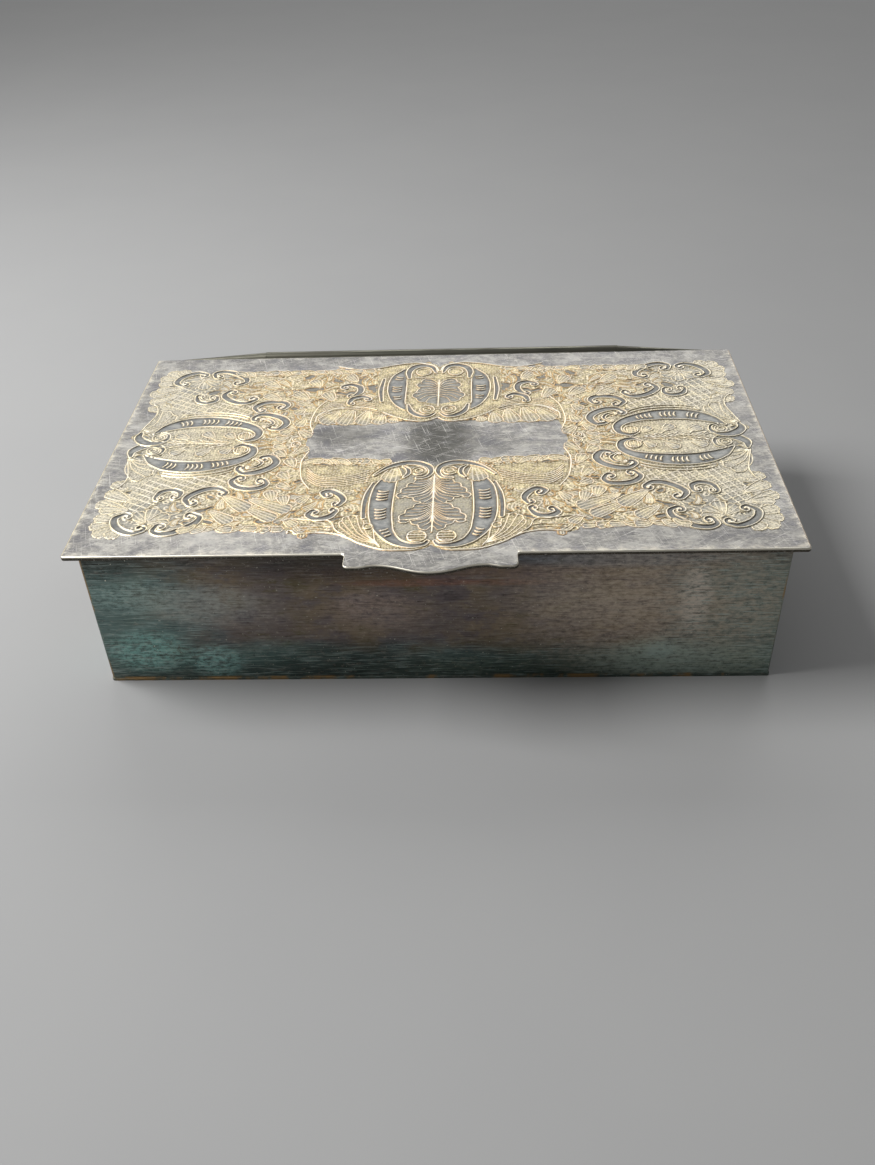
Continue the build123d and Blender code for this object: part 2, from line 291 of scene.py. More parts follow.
def chased_plate(name, smudges):
    """Worn plate over relief. The attribute relief holds raised line, bare silver ribbon and matted ground, vein
    holds the finest raised work, and the third attribute the painted shade of the lowest places, all 0 to 1. Where
    a mesh lacks them they are 0, which is the plain border. Metallic, roughness 0.36 to 0.52. Each smudge is (place
    on the lid, reach along X and Y, how strong it is where the plate is most worn)."""
    material, shader = start_material(name)
    relief = add(material, "Attribute", attribute_name="relief")
    drawn = add(material, "SeparateColor", {0: relief.outputs["Color"]})
    line, ribbon, ground = drawn.outputs
    vein, hollow_shade = [add(material, "Attribute", attribute_name=layer).outputs["Fac"] for layer in ("vein", "hollow_shade")]
    place = add(material, "SeparateXYZ", {0: add(material, "TexCoord").outputs["Object"]})
    ends = between(material, calc(material, "ABSOLUTE", place.outputs[0]), 40 * MM, 82 * MM)
    plain = calc(material, "SUBTRACT", 1.0, ground)
    # The plain plate: clouds and spots of tarnish, fine rubs, an edge that handling keeps bright, and painted light
    cloud = grain(material, 22, 4, shift=(1, 2, 3))
    blotch = grain(material, 2.6, 7, (1.6, 1, 1), (4, 0, 2), 0.72)
    fine = grain(material, 0.45, 4, (1.5, 1, 1), (0, 7, 1), 0.7)
    silver = tint(material, between(material, cloud, 0.35, 0.65), "94928e", "807e7b")
    silver = glaze(material, silver, blotch, 0.50, 0.64, 0.6, "d0ccc3")
    silver = glaze(material, silver, blotch, 0.49, 0.37, 0.6, "67656a")
    silver = glaze(material, silver, fine, 0.53, 0.66, 0.35, "e4dfd5")
    silver = glaze(material, silver, fine, 0.47, 0.36, 0.35, "595756")
    stroke = grain(material, 0.28, 3, (16, 1, 1), (5, 2, 0), 0.7)
    silver = glaze(material, silver, stroke, 0.55, 0.66, 0.3, "eeeae0")
    silver = glaze(material, silver, stroke, 0.45, 0.34, 0.15, "5d5b5b")
    haze = grain(material, 7, 5, (1.3, 1, 1), (2, 5, 0), 0.65)
    silver = glaze(material, silver, haze, 0.50, 0.62, 0.5, "c4c1ba")
    silver = glaze(material, silver, haze, 0.48, 0.36, 0.5, "62626a")
    sideways = calc(material, "ABSOLUTE", place.outputs[0])
    front = calc(material, "ABSOLUTE", calc(material, "SUBTRACT", place.outputs[1], LID_FRONT))
    front = calc(material, "ADD", front, between(material, sideways, LIP_HALF, LIP_HALF - 0.4 * MM, 0, 9 * MM))
    nearest = calc(material, "MINIMUM", front, calc(material, "SUBTRACT", LID_HIGH.x, sideways))
    handled = between(material, nearest, 2.2 * MM, 0.3 * MM)
    handled = calc(material, "MULTIPLY", handled, between(material, blotch, 0.46, 0.60, 0.1, 0.7))
    silver = tint(material, handled, silver, "e3dccb")
    # Painted highlight: a near-white line along the outermost half millimetre of the edge.
    silver = glaze(material, silver, nearest, 0.5 * MM, 0.2 * MM, 0.9, "fbf5e6")
    selvedge = between(material, sideways, LID_HIGH.x - 0.55 * MM, LID_HIGH.x - 0.2 * MM)
    # Painted shade: the worn-through brass goes from pale gold at the lit left end to brown at the right end.
    painted_shade_rightward = between(material, place.outputs[0], -10 * MM, 10 * MM)
    through = tint(material, painted_shade_rightward, "dccb98", "98795a")
    silver = tint(material, calc(material, "MULTIPLY", selvedge, 0.75), silver, through)
    # Painted sheen: a lighter patch at the front left of the plain border, on the side that the lamp lights.
    painted_sheen = between(material, blotch, 0.35, 0.6, 0.05, 0.35)
    painted_sheen = calc(material, "MULTIPLY", patch(material, (0, 1), (-58, -46), (30, 9)), painted_sheen)
    silver = tint(material, painted_sheen, silver, "d6d2ca")
    for at, reach, strength in smudges:
        broken = between(material, blotch, 0.3, 0.55, 0.5, strength)
        smudge = calc(material, "MULTIPLY", patch(material, (0, 1), at, reach), broken)
        silver = tint(material, smudge, silver, "484742")
    # Over it the matted ground, the bare ribbons, painted shade in the hollows, and the lines worn through to brass
    # with painted highlights on their crests
    matted = tint(material, between(material, blotch, 0.40, 0.60), "decfa2", "b3a37e")
    matted = tint(material, calc(material, "MULTIPLY", ends, 0.7), matted, "d4d0c4")
    matted = glaze(material, matted, fine, 0.52, 0.40, 0.7, "6b6353")
    tone = tint(material, ground, silver, matted)
    bare = tint(material, between(material, blotch, 0.4, 0.6), "707376", "a6a6a2")
    tone = tint(material, calc(material, "MULTIPLY", ribbon, 0.95), tone, bare)
    # Painted shade in the hollows of the relief and at the bare leaf tips.
    tone = tint(material, calc(material, "MULTIPLY", hollow_shade, 0.46), tone, "4c4a42")
    flank = tint(material, ends, "cfa163", "c4b080")
    # Painted highlight: the crests of the raised lines, and a little of the fine veins, are near-white cream over
    # the brass flank.
    crest = tint(material, between(material, blotch, 0.35, 0.65), "fff2d0", "fffaee")
    tone = tint(material, calc(material, "MULTIPLY", vein, 0.9), tone, tint(material, 0.15, crest, flank))
    tone = tint(material, between(material, line, 0.2, 0.7, 0, 0.65), tone, flank)
    tone = tint(material, between(material, line, 0.70, 0.94), tone, crest)
    # Below the top face the filed edge gets a painted highlight, and under that a painted shade
    arris = between(material, place.outputs[2], LID_TOP - 0.01 * MM, LID_TOP - 0.04 * MM)
    tone = tint(material, arris, tone, "fbf4e2")
    below = between(material, place.outputs[2], LID_TOP - 0.26 * MM, LID_TOP - 0.38 * MM, 0, 0.95)
    tone = tint(material, calc(material, "MULTIPLY", arris, below), tone, "2f281f")
    rough = between(material, blotch, 0.3, 0.7, 0.36, 0.52)
    bump = add(material, "Bump", {"Height": blotch, "Strength": 0.25, "Distance": 0.12 * MM})
    bump = add(material, "Bump", {"Height": fine, "Strength": 0.35, "Distance": 0.04 * MM, "Normal": bump})
    for k, turn in enumerate((18, -35, 74)):  # degrees
        scratch = grain(material, 0.16, 1, (60, 1, 1), (3 * k, 1, 5), turn=turn)
        mark = between(material, scratch, 0.68, 0.74, 0, 0.55)
        tone = tint(material, calc(material, "MULTIPLY", mark, plain), tone, "f4f0e8")
    set_input(material, shader, Base_Color=tone, Metallic=0.92, Roughness=rough, Normal=bump)
    return material


lid_metal = chased_plate("worn_silver_plate_chased", [
    ((0, -57), (27, 8), 0.15), ((1, 0), (13, 22), 0.9), ((18, -4), (10, 7), 0.25), ((-26, 3), (13, 8), 0.5),
    ((60, -46), (34, 8), 0.15), ((-50, 51), (36, 7), 0.1),
])
dress("lid_plate", lid_metal)

# ---- Lid ornament ----
# Scrolls, shells and leaves stamped up from behind and sharpened with a graver, on a matted ground. It is a height
# field, drawn in millimetres over u, out from the middle, and v, back from the lid's front edge, then mirrored.
STEP = 0.2  # mm between the relief's grid points
COLUMNS = 433  # from the middle to 86.4 mm
ROWS = 495  # from 0.6 mm behind the lid's front edge to 99.4 mm
FIRST_ROW = 0.6
MIDDLE = 52.0  # the side motifs are the same before and behind this line
LINE = 0.30  # half the breadth of a raised line, mm
LINE_HEIGHT = 0.25
CRESCENT_PITCH = 1.25  # between the marks across a ribbon
FAR = 99.0  # stands for the distance of a grid point that is out of a path's reach
grid_u = np.arange(COLUMNS) * STEP
grid_v = FIRST_ROW + np.arange(ROWS) * STEP
height, gold, silver, ground, vein, pit_shade = np.zeros((6, ROWS, COLUMNS))
LAYERS = (height, gold, silver, vein, pit_shade)


def ridge(distance, breadth):
    """A rounded ridge: 1 on its crest, falling as the square of the distance to 0 at breadth."""
    return np.clip(1 - (distance / breadth) ** 2, 0, 1)


def inside(distance, blur=STEP):
    """1 where a signed distance is well below 0, 0 well above, and a straight ramp between."""
    return np.clip(0.5 - distance / blur, 0, 1)


def smooth(points, spacing=0.35):
    """Evenly spaced points along the Catmull-Rom curve through the given ones."""
    p = np.asarray(points, float)
    p = np.vstack([2 * p[0] - p[1], p, 2 * p[-1] - p[-2]])
    t = np.linspace(0, len(points) - 1, 12 * (len(points) - 1) + 1)
    i = np.minimum(t.astype(int), len(points) - 2)
    f = (t - i)[:, None]
    a, b, c, d = p[i], p[i + 1], p[i + 2], p[i + 3]
    q = b + 0.5 * f * (c - a + f * (2 * a - 5 * b + 4 * c - d + f * (3 * b - a - 3 * c + d)))
    run = np.append(0, np.cumsum(np.hypot(*np.diff(q, axis=0).T)))
    even = np.linspace(0, run[-1], max(int(run[-1] / spacing), 2) + 1)
    return np.column_stack([np.interp(even, run, q[:, 0]), np.interp(even, run, q[:, 1])])


def curl(path, radius, turn):
    """The path with a spiral at its end: turn is in degrees, + to the left, and the radius falls to two fifths."""
    steps = max(int(abs(turn) / 15), 2)
    heading = np.arctan2(*(path[-1] - path[-2])[::-1]) + np.radians(turn) * (np.arange(steps) + 0.5) / steps
    stride = radius * np.linspace(1, 0.4, steps) * abs(np.radians(turn)) / steps
    spiral = path[-1] + np.cumsum(stride[:, None] * np.column_stack([np.cos(heading), np.sin(heading)]), axis=0)
    return np.vstack([path, spiral])


def curled(points, first=None, last=None):
    """A smooth path through the points, with a (radius, turn) curl added at either end or both."""
    path = smooth(points)
    if last:
        path = curl(path, *last)
    if first:
        path = curl(path[::-1], *first)[::-1]
    return path


def around(path, reach):
    """The part of the grid near a path: its window, and for each point the distance along and off the path."""
    low = np.maximum(((path.min(0) - reach - (0, FIRST_ROW)) / STEP).astype(int), 0)
    high = ((path.max(0) + reach - (0, FIRST_ROW)) / STEP).astype(int) + 2
    u = grid_u[low[0] : high[0]]
    v = grid_v[low[1] : high[1]]
    off = np.full((len(v), len(u)), FAR)
    along = np.zeros_like(off)
    side = np.zeros_like(off)
    run = 0.0
    for (u0, v0), (u1, v1) in zip(path[:-1], path[1:]):
        columns = slice(*np.searchsorted(u, (min(u0, u1) - reach, max(u0, u1) + reach)))
        rows = slice(*np.searchsorted(v, (min(v0, v1) - reach, max(v0, v1) + reach)))
        length = np.hypot(u1 - u0, v1 - v0)
        du = u[None, columns] - u0
        dv = v[rows, None] - v0
        t = np.clip((du * (u1 - u0) + dv * (v1 - v0)) / length**2, 0, 1)
        distance = np.hypot(du - t * (u1 - u0), dv - t * (v1 - v0))
        nearer = distance < off[rows, columns]
        off[rows, columns] = np.where(nearer, distance, off[rows, columns])
        along[rows, columns] = np.where(nearer, run + t * length, along[rows, columns])
        cross = (u1 - u0) * dv - (v1 - v0) * du
        side[rows, columns] = np.where(nearer, np.sign(cross), side[rows, columns])
        run += length
    return np.s_[low[1] : high[1], low[0] : high[0]], along, off, side * off, run


def raise_to(layer, window, amount):
    """Lifts a layer to an amount where it is lower."""
    layer[window] = np.maximum(layer[window], amount)


def clear(window, mask):
    """Takes away what was drawn before under a mask, as a scroll laid over leaves hides them."""
    for layer in LAYERS:
        layer[window] *= 1 - mask


def bead(path, breadth=LINE, tall=LINE_HEIGHT, pearls=0.0):
    """A raised line along a path or a list of points, cut into pearls of a given pitch if that isn't 0."""
    path = smooth(path) if isinstance(path, list) else path
    window, along, off, _, _ = around(path, breadth + 0.4)
    shape = ridge(off, breadth)
    if pearls:
        shape = shape * (0.35 + 0.65 * np.abs(np.cos(np.pi * along / pearls)))
    raise_to(gold, window, np.sqrt(shape))
    raise_to(height, window, tall * shape)


def band(path, halves, bars=(), knobs=0.0):
    """A sunk silver ribbon between two raised lines, along a path or a list of points. halves are its half breadths
    at even steps along it, bars are (place, count) groups of crescents across it, and knobs is the radius of the
    ball at each end."""
    path = smooth(path) if isinstance(path, list) else path
    window, along, off, across, total = around(path, max(halves) + 1.0)
    t = along / total
    half = np.interp(t, np.linspace(0, 1, len(halves)), halves)
    edge = off - half
    if knobs:
        for end in (path[0], path[-1]):
            ball = np.hypot(grid_u[window[1]][None, :] - end[0], grid_v[window[0]][:, None] - end[1])
            edge = np.minimum(edge, ball - knobs)
    clear(window, inside(edge - 0.5))
    raise_to(silver, window, inside(edge + 0.1))
    raise_to(gold, window, np.sqrt(ridge(edge, LINE)))
    raise_to(height, window, LINE_HEIGHT * ridge(edge, LINE + 0.05))
    raise_to(ground, window, inside(edge - 0.2))
    for place, count in bars:
        for k in range(count):
            offset = along - place * total - (k - (count - 1) / 2) * CRESCENT_PITCH + 0.22 * across**2
            mark = ridge(offset, 0.42) * inside(off - 0.52 * half, 0.4)
            raise_to(gold, window, mark)
            raise_to(height, window, 0.9 * LINE_HEIGHT * mark)


def scroll(points, width=1.9, radii=(1.3, 1.3), turns=(250, 250)):
    """A C scroll: a ribbon widest at its middle, whose ends go on turning the same way into a curl and a ball."""
    body = smooth(points)
    start, end = body[1] - body[0], body[-1] - body[-2]
    chord = body[len(body) // 2] - body[0]
    sense = np.sign(start[0] * chord[1] - start[1] * chord[0])
    path = curled(points, (radii[0], -sense * turns[0]), (radii[1], sense * turns[1]))
    half = 0.5 * width
    band(path, half * np.array([0.45, 0.6, 0.95, 1, 0.95, 0.6, 0.45]), knobs=0.62 * half)


def acanthus(stem, lobe, count, scallops, bow=0.16):
    """Half a feathery leaf on a stem: veins sweep from along the stem to a scalloped edge. The edge is the lobe's
    curve moved outward by a small step and the arches of the scallops; count veins end evenly along it."""
    edge = smooth(lobe)
    slope = np.gradient(edge, axis=0)
    outward = np.column_stack([-slope[:, 1], slope[:, 0]]) / np.hypot(*slope.T)[:, None]
    outward *= np.sign(np.sum(outward[len(edge) // 2] * (edge[len(edge) // 2] - np.mean(stem, axis=0))))
    t = np.linspace(0, 1, len(edge))
    rim = edge + (0.3 + 0.75 * np.abs(np.sin(np.pi * scallops * t)))[:, None] * outward
    body = polygon_mask(np.vstack([rim, stem[1], stem[0]]))
    clear(np.s_[:, :], body)
    silver[:] = np.maximum(silver, 0.9 * body)
    bead(rim, 0.26, 0.17)
    for k in range(count):
        end = edge[k * (len(edge) - 1) // (count - 1)]
        start = np.array(stem[0]) + (np.array(stem[1], float) - stem[0]) * 0.6 * k / (count - 1)
        middle = (start + end) / 2 + bow * np.array([end[1] - start[1], start[0] - end[0]])
        bead([start, middle, end], 0.2, 0.13)


def plume(points, width, ribs=4, dark=0.0):
    """A shell or feather leaf: it widens from its foot, ribs run along it at even shares of its breadth, and each
    rib ends in a round lobe, so the tip's edge is the spine's end less a square and the lobes' arches."""
    path = smooth(points)
    window, along, off, across, total = around(path, width + 0.9)
    t = along / total
    half = width * (0.25 + 0.75 * np.sin(np.pi * np.clip(0.62 * t, 0, 0.5)))
    share = across / half
    lobe = np.abs(np.sin(np.pi * (share * ribs / 2 + 0.5 * (ribs % 2 == 0))))
    tip = total - 0.55 * width * share**2 - 0.5 * width / ribs * (1 - lobe)
    edge = np.maximum(off - half, along - tip)
    edge = np.where((along <= 0) & (off > 0.3), off, edge)
    edge = np.where(along >= total, np.maximum(edge, off), edge)
    body = inside(edge)
    clear(window, inside(edge - 0.3))
    rib = np.abs((share * ribs / 2 + 0.5 * (ribs % 2 == 1)) % 1 - 0.5) * 2 * half / ribs
    lines = ridge(half / ribs - rib, 0.2) * inside(edge + 0.3)
    rim = ridge(edge, 0.27) * (t > 0.02)
    bare = dark * body * np.clip(2.2 * t - 1.0, 0, 1)
    raise_to(silver, window, bare)
    # The bare tip is also marked for painted shade.
    raise_to(pit_shade, window, 0.8 * bare * (1 - lines))
    raise_to(gold, window, np.sqrt(rim))
    raise_to(vein, window, 0.85 * lines)
    raise_to(ground, window, body)
    raise_to(height, window, np.maximum.reduce([0.17 * rim, 0.12 * lines, 0.05 * body]))


def plumes(turn, ribs, dark, *leaves):
    """Several plumes, each given as the u and v of its foot, the u and v of its tip, and its width."""
    for foot_u, foot_v, tip_u, tip_v, width in leaves:
        plume(turn([(foot_u, foot_v), (tip_u, tip_v)]), width, ribs, dark)


def volute(centre, radius, rings=2, stripes=0.0):
    """A round boss with raised rings, or with stripes of a given pitch across it."""
    path = np.array([centre, (centre[0] + 0.01, centre[1])])
    window, _, off, _, _ = around(path, radius + 1)
    clear(window, inside(off - radius - 0.3))
    raise_to(ground, window, inside(off - radius))
    shape = ridge(off - radius, LINE)
    if stripes:
        bar = np.abs((grid_v[window[0]][:, None] - centre[1]) / stripes % 1 - 0.5) * stripes
        shape = np.maximum(shape, ridge(bar, 0.28) * inside(off - radius))
    for k in range(1, rings):
        shape = np.maximum(shape, ridge(off - radius * k / rings, 0.26))
    raise_to(gold, window, np.sqrt(shape))
    raise_to(height, window, LINE_HEIGHT * shape)
    raise_to(height, window, 0.06 * inside(off - radius))


def fan(foot, tips, bow=0.12):
    """Ribs that spring from one foot and bow out to their tips, closed by a scalloped line from tip to tip."""
    foot = np.array(foot, float)
    for tip in np.array(tips, float):
        middle = (foot + tip) / 2 + bow * np.array([foot[1] - tip[1], tip[0] - foot[0]])
        bead([foot, middle, tip], 0.24, 0.14)
    for a, b in zip(tips[:-1], tips[1:]):
        a, b = np.array(a, float), np.array(b, float)
        bulge = (a + b) / 2 + 0.28 * ((a + b) / 2 - foot) / np.hypot(*((a + b) / 2 - foot)) * np.hypot(*(b - a))
        bead([a, bulge, b], 0.28, 0.18)


def polygon_mask(points):
    """1 inside a closed outline: the parity of how many of its sides a ray along +u crosses."""
    p = np.asarray(points, float)
    odd = np.zeros((ROWS, COLUMNS), bool)
    for (u0, v0), (u1, v1) in zip(p, np.roll(p, -1, axis=0)):
        if v0 == v1:
            continue
        crossing = ((grid_v > v0) != (grid_v > v1))[:, None]
        at = u0 + (grid_v - v0) * (u1 - u0) / (v1 - v0)
        odd ^= crossing & (grid_u[None, :] < at[:, None])
    return odd.astype(float)


def blank(points, field=1.0):
    """Clears a closed outline for what is laid over it, and leaves it as chased field or as plain plate."""
    mask = polygon_mask(smooth(points + points[:1]))
    for layer in LAYERS:
        layer *= 1 - mask
    ground[:] = ground * (1 - mask) + field * mask
    return mask


def flipped(points):
    """The same points before or behind the middle line."""
    return [(u, 2 * MIDDLE - v) for u, v in points]


# The chased field's outline, from the front's middle round to the back's
field_outline = smooth([
    (0, 3.2), (1.7, 1.9), (4.6, 1), (9.2, 1), (13.9, 2.6), (18.9, 5.6), (22.8, 8.1), (27.4, 8.9), (33.5, 8),
    (37, 10.6), (41, 10.2), (46, 11.2), (52, 10.6), (58, 11.2), (62, 10), (67, 10.4), (73, 10.4), (79, 11),
    (83.6, 12.6), (82.4, 17), (84, 22), (82, 27), (82.4, 31), (81.2, 36), (82.8, 43), (83.4, 48),
    (82, 52), (83.4, 56), (82.8, 61), (81.2, 68), (82.4, 73), (82, 77), (84, 82), (82.4, 87),
    (82.8, 91), (79, 93), (73, 93.6), (67, 93.6), (60, 93.8), (52, 93.2), (44, 94), (36, 93.2),
    (30, 94.6), (22, 94.4), (14, 97.4), (6, 98.4), (0, 95.6),
])
ground[:] = polygon_mask(field_outline)


def clouds(size, stretch, seed):
    """Smooth noise with features of about size mm, stretch times as long along u: white noise whose spectrum is
    multiplied by exp(-(size f)^2), scaled to a spread of 1."""
    white = np.random.default_rng(seed).normal(size=(ROWS, COLUMNS))
    along_u, along_v = np.meshgrid(np.fft.rfftfreq(COLUMNS, STEP), np.fft.fftfreq(ROWS, STEP))
    weight = np.exp(-((size * stretch * along_u) ** 2) - (size * along_v) ** 2)
    field = np.fft.irfft2(np.fft.rfft2(white) * weight, s=white.shape)
    return field / field.std()


def contours(field, levels, breadth):
    """Thin lines where a field passes its levels: a ridge of the distance to them, which is the difference over the
    slope. levels is a spacing, or one level in a tuple. The lines fade out where they would crowd."""
    slope = np.hypot(*np.gradient(field, STEP)) + 0.02
    if isinstance(levels, tuple):
        return ridge((field - levels[0]) / slope, breadth)
    off = np.abs((field / levels) % 1 - 0.5) * levels / slope
    return ridge(off, breadth) * np.clip((levels / slope - 0.55) / 0.35, 0, 1)


# Flowing engraved lines and small bare leaf tips fill the field; everything later is laid over them
flow_lines = contours(clouds(4.6, 1.7, 21), 0.78, 0.27) * ground
tips = clouds(3.1, 1.6, 34)
tip_body = inside(1.05 - tips, 0.3) * ground
tip_edge = contours(tips, (0.95,), 0.3) * ground
vein[:] = flow_lines * (1 - tip_body)
silver[:] = 0.85 * tip_body
# The bare leaf tips are also marked for painted shade.
pit_shade[:] = tip_body
gold[:] = np.sqrt(tip_edge)
height[:] = np.maximum(0.11 * vein, 0.18 * tip_edge)

# Small plumes lie among the lines, in staggered rows
PLUME_PITCH = 3.4
leaves = np.random.default_rng(7)
for row in range(27):
    for column in range(26):
        place = np.array([column * PLUME_PITCH + 0.5 * PLUME_PITCH * (row % 2), 8.6 + row * PLUME_PITCH])
        place += leaves.uniform(-1.6, 1.6, 2)
        if leaves.random() < 0.5:
            continue
        i, j = int((place[1] - FIRST_ROW) / STEP), int(place[0] / STEP)
        away = place - (24, MIDDLE)
        flow = np.arctan2(away[1], away[0]) + 0.9 * np.sin(place[0] / 7 + place[1] / 9)
        flow += leaves.uniform(-0.5, 0.5)
        long = leaves.uniform(2.6, 6)
        forward = np.array([np.cos(flow), np.sin(flow)])
        bend = leaves.uniform(-0.9, 0.9) * np.array([-forward[1], forward[0]])
        if 0 <= i < ROWS and 0 <= j < COLUMNS and ground[i, j] > 0.5:
            spine = [place - forward * long / 2, place + bend, place + forward * long / 2]
            plume(spine, leaves.uniform(0.7, 1.5), int(leaves.integers(2, 5)), dark=float(leaves.random() < 0.35))
gold *= 0.8

for turn in (list, flipped):
    # Diaper lattice between each corner's scrolls and the side cartouche
    netting = blank(turn([(75.5, 36.5), (66, 35), (54, 36.5), (54, 31), (58, 27), (63, 26), (68, 24), (75, 19),
                          (79, 19), (79, 26), (77.5, 32)]))
    cell = 2.1
    for tilt in (62, -28):  # degrees
        across = grid_u[None, :] * np.sin(np.radians(tilt))
        across = across + (grid_v[:, None] - MIDDLE) * np.cos(np.radians(tilt))
        wire = ridge((across / cell % 1 - 0.5) * cell, 0.26) * netting
        vein[:] = np.maximum(vein, wire)
        height[:] = np.maximum(height, 0.12 * wire)

    # Corner: an outer frill, a five-lobed leaf, and the two scrolls that hold it
    corner = [(58.4, 14), (62, 21), (68, 23.4), (77, 22), (79.4, 15), (74, 9.8), (64, 9.8), (58.4, 14)]
    hold = polygon_mask(smooth(turn(corner)))
    silver[:] = np.maximum(silver, 0.6 * hold * (1 - vein))
    plumes(turn, 3, 0, (78.6, 14.8, 85.2, 12, 2), (78.6, 14.8, 85, 17, 2), (78, 13, 83.4, 8.6, 2),
           (77.5, 19.5, 86.2, 23.4, 2), (78, 24, 85, 28.4, 2), (79, 20, 84.8, 20.2, 2), (80.2, 29, 84.2, 33, 2),
           (77, 12, 79.6, 7.6, 2))
    plumes(turn, 3, 0.9, (71, 14, 75.4, 18.6, 1.9), (71, 14, 70.4, 20.4, 1.9), (71, 14, 66.2, 17.6, 1.9),
           (71, 14, 65.4, 13.4, 1.9))
    scroll(turn([(78, 17.6), (79.7, 15.9), (79.1, 13.2), (77, 10.9), (74.1, 9.6), (72, 10.2)]), 2.1)
    scroll(turn([(68.6, 12.2), (68.9, 10.4), (67, 9.2), (64.1, 9.5), (61.3, 11.3), (58.8, 13.8), (58.4, 16.3),
                 (60, 17.6)]), 2.1)
    scroll(turn([(71.6, 25.6), (70.6, 27.8), (67.9, 28.8), (65.6, 27.7), (65.4, 25.8)]), 1.7)
    scroll(turn([(62.6, 22.2), (63.6, 24.4), (61.8, 27), (58.8, 28.9), (55.9, 29.2), (54, 27.9)]), 2.1)
    scroll(turn([(52.2, 34.2), (53.2, 32.2), (51.4, 29.9), (48.4, 28.9), (45.2, 29.2), (43.7, 30.9),
                 (44.2, 32.6)]), 2)

    blank(turn([(83.6, 46), (82.4, 40.4), (81.4, 35.2), (82.2, 30.6), (79, 31), (75, 34), (74, 38), (76, 43)]))
    blank(turn([(80, 46.5), (75, 41), (64, 35), (54, 37.5), (49, 44), (50, 50), (56, 52.2), (66, 52.2), (76, 52.2),
                (81, 50)]))
    # Side cartouche: a band that ends in a volute, a double line below it, and the frame's outer volute
    fan(turn([(83.4, 45)])[0], turn([(77.4, 43.6), (75.8, 41.2), (75.2, 38.4), (76.6, 35.4), (80, 33.6)]))
    bead(turn([(84.1, 46), (82.6, 40.4), (81.4, 35.2), (82, 31.4), (83.6, 29)]))
    for reach in (0, 1.3):
        bead(turn([(72.4, 37.2 - reach), (69, 36.3 - reach), (64.6, 36.0 - reach), (59.6, 36.5 - reach),
                          (55.8, 37.8 - reach), (53.2, 39.4 - reach)]), 0.34)
    band(turn([(79.6, 46.2), (75.9, 42.9), (70.6, 40.6), (64.1, 40), (58.1, 41), (52.9, 43), (50, 46),
               (50.2, 49.4), (53, 50.9), (55.2, 49.6)]), (0.3, 1.7, 2.5, 2.7, 2.7, 2.5, 1.9, 1.5, 1.2, 0.8, 0.5),
         bars=((0.24, 3), (0.40, 4), (0.56, 4)))
    band(turn([(83.2, 45.6), (83.4, 48.4), (81, 50.9), (77.6, 51.4), (75.2, 49.6), (75.3, 46.9), (77.2, 45.8)]),
         (0.5, 1.3, 1.5, 1.1, 0.7, 0.5, 0.4))
    volute(turn([(77.8, 48.6)])[0], 1.7)
    volute(turn([(53.4, 48.2)])[0], 1.9, rings=1)
    for across in (-0.9, 0, 0.9):
        bead(turn([(53.4 + across, 46.6), (53.4 + 1.25 * across, 48.2), (53.4 + across, 49.8)]), 0.2, 0.14)
    scroll(turn([(46.2, 44.6), (44.2, 44.6), (42.7, 41.6), (44.1, 38.8), (47.4, 36.7), (50.6, 36.4),
                 (52.3, 37.7)]), 2.3)
    scroll(turn([(48.2, 43.4), (46.6, 41.6), (47.6, 39.6), (49.6, 38.9)]), 1, (0.6, 0.6), (150, 150))

# The sprig inside the side cartouche, on its middle line
bead([(72.6, 52), (67, 52.3), (61, 51.7), (56.5, 52)], 0.3)
for turn in (list, flipped):
    plumes(turn, 3, 1, (56.4, 54.4, 58.8, 57.6, 1.6), (62, 55, 65.2, 58.4, 1.6), (69, 54.8, 73, 57, 1.6))
    for k in range(13):
        u = 56.6 + 1.3 * k
        bead(turn([(u, 52), (u + 1.7, 53), (u + 4.2 - 0.5 * (k % 3), 53.6 + 0.5 * (k % 3))]), 0.24, 0.17)

# Middle: the blank panel, and the S curves and feathers at its ends
blank([(0, 38.6), (5, 41), (12, 41), (18, 42.8), (26, 42.4), (33.4, 42.4), (35.2, 46.5), (35.8, 52), (34.8, 57),
       (33.8, 61.4), (26, 61), (18, 61.6), (10, 62.6), (5, 62.4), (0, 64.4), (-5, 62.4), (-5, 41)], 0)
for turn in (list, flipped):
    blank(turn([(34.6, 45), (35.6, 39.6), (35.2, 35), (33.6, 30.2), (30, 26.4), (18, 29), (15.5, 36), (17, 39),
                (32, 40)]))
    bead(curled(turn([(34.6, 47), (35.9, 42), (35.6, 37), (34.6, 32.6), (32.2, 28.2)])), 0.34, 0.2)
    for k in range(6):
        t = k / 5
        bead(turn([(34.0 - 0.7 * t, 38.6 - 6.0 * t), (31.0 - t, 34.8 - 5.0 * t), (26.4 - t, 33.6 - 4.2 * t),
                          (21.4, 34.6 - 4.4 * t), (17.2, 37.0 - 5.6 * t)]), 0.25, 0.14)
    plumes(turn, 3, 0.7, (38.6, 45.6, 35.2, 49.6, 1.6), (37.6, 39, 39.6, 43.6, 1.7), (38.4, 33, 41, 36.6, 1.7),
           (37.4, 29, 40.8, 31, 1.5), (40.6, 44.6, 43.6, 47.8, 1.7), (41, 49, 44.6, 50.6, 1.5))
    volute(turn([(38.5, 50.6)])[0], 1.3)

# Scrolls, feathers and matted ground on each side of the front cartouche
scroll([(27.9, 25), (28.4, 26.4), (26.2, 27), (23.9, 25.1), (22.9, 22.8), (23.6, 20.9)], 1.9, (1, 1))
scroll([(30.6, 17.8), (31, 16.2), (28.6, 14.7), (25.8, 15.5), (24.3, 17.6)], 2, (1, 1))
plumes(list, 4, 0.8, (47, 24, 35.8, 18.4, 2.2), (48, 20.6, 39, 14.6, 2), (54, 25.6, 46.4, 19, 2.2),
       (41, 23, 42.4, 27.8, 1.8), (37.6, 21, 38.8, 25.6, 1.6), (56, 18.6, 50, 13.6, 2), (37, 15, 33.6, 11.6, 1.6),
       (32, 25.4, 34.6, 22, 1.6))


